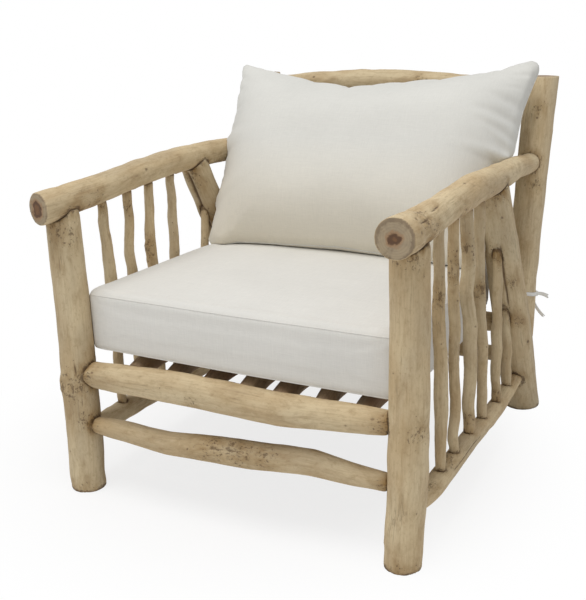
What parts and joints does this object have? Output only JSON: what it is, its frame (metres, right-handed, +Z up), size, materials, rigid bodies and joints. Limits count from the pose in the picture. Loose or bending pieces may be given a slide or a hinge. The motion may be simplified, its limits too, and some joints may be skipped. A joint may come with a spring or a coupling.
{
  "type": "rustic branch armchair",
  "caption": "Low rustic armchair of peeled crooked branches with spindle sides, slanted rear legs, a boxed seat cushion and a loose back pillow.",
  "frame": {"origin": "on the floor, under the middle of the chair's box", "axes": "+X to the right as seen from the front, +Y to the back, +Z up; the chair faces -Y"},
  "size_m": [0.7834, 0.9245, 0.8126],
  "materials": {
    "pale_wood": "peeled and weathered, matt",
    "dark_wood": "peeled, darker, matt",
    "linen": "off-white linen, plain weave",
    "tape": "white cotton tape"
  },
  "bodies": {
    "root": {"arm_left": "pale_wood", "arm_right": "pale_wood", "back_cushion": "linen", "back_spindle_1": "pale_wood", "back_spindle_2": "pale_wood", "back_spindle_3": "pale_wood", "back_spindle_4": "pale_wood", "back_spindle_5": "pale_wood", "back_spindle_6": "pale_wood", "back_stile_left": "pale_wood", "back_stile_right": "pale_wood", "crest_rail": "pale_wood", "cushion_tie": "tape", "front_post_left": "pale_wood", "front_post_right": "pale_wood", "front_seat_rail": "pale_wood", "front_stretcher": "pale_wood", "lower_back_rail": "pale_wood", "rear_leg_left": "pale_wood", "rear_leg_right": "pale_wood", "rear_seat_rail": "pale_wood", "rear_stretcher": "pale_wood", "seat_cushion": "linen", "seat_slat_1": "dark_wood", "seat_slat_2": "dark_wood", "seat_slat_3": "dark_wood", "seat_slat_4": "dark_wood", "seat_slat_5": "dark_wood", "seat_slat_6": "dark_wood", "seat_slat_7": "dark_wood", "side_rail_left": "pale_wood", "side_rail_right": "pale_wood", "side_spindle_left_1": "pale_wood", "side_spindle_left_2": "pale_wood", "side_spindle_left_3": "pale_wood", "side_spindle_left_4": "pale_wood", "side_spindle_left_5": "pale_wood", "side_spindle_left_6": "pale_wood", "side_spindle_right_1": "pale_wood", "side_spindle_right_2": "pale_wood", "side_spindle_right_3": "pale_wood", "side_spindle_right_4": "pale_wood", "side_spindle_right_5": "pale_wood", "side_spindle_right_6": "pale_wood"}
  },
  "joints": []
}
